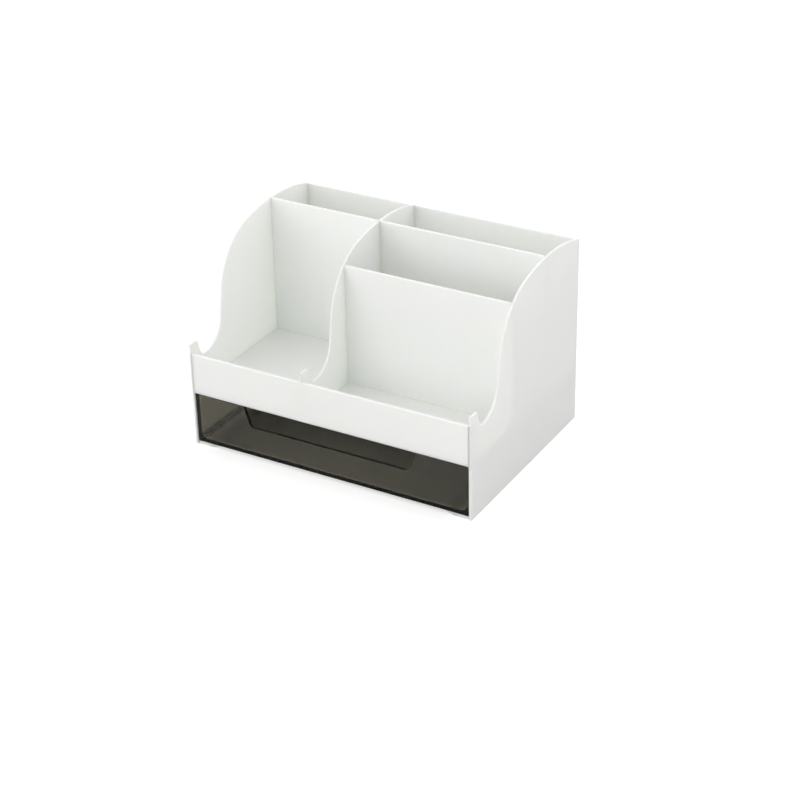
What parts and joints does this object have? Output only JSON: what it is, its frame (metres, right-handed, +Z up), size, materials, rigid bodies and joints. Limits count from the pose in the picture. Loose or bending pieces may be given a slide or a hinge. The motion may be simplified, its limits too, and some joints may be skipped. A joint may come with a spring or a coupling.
{
  "type": "desk organizer with drawer",
  "caption": "Upright desk organizer: open compartments between curved side panels and a divider, over a smoked pull-out drawer with a finger cut-out.",
  "frame": {"origin": "middle of the base, where the organizer stands on the desk", "axes": "+Z up, -Y out of the drawer's front, +X to the right as seen from the front"},
  "size_m": [0.16, 0.115, 0.107],
  "materials": {
    "white_plastic": "satin moulded white",
    "smoked_plastic": "clear smoked grey-brown"
  },
  "bodies": {
    "housing": {"left_side_panel": "white_plastic", "right_side_panel": "white_plastic", "middle_divider": "white_plastic", "back_panel": "white_plastic", "front_fascia": "white_plastic", "compartment_deck": "white_plastic", "rear_cross_wall_left": "white_plastic", "rear_cross_wall_right": "white_plastic", "step_wall_right": "white_plastic", "left_drawer_rail": "white_plastic", "right_drawer_rail": "white_plastic"},
    "drawer": {"drawer_tray": "smoked_plastic"}
  },
  "joints": [
    {"name": "drawer_slide", "type": "slide", "parent": "housing", "child": "drawer", "axis": [0, -1, 0], "range_m": [0, 0.086]}
  ]
}
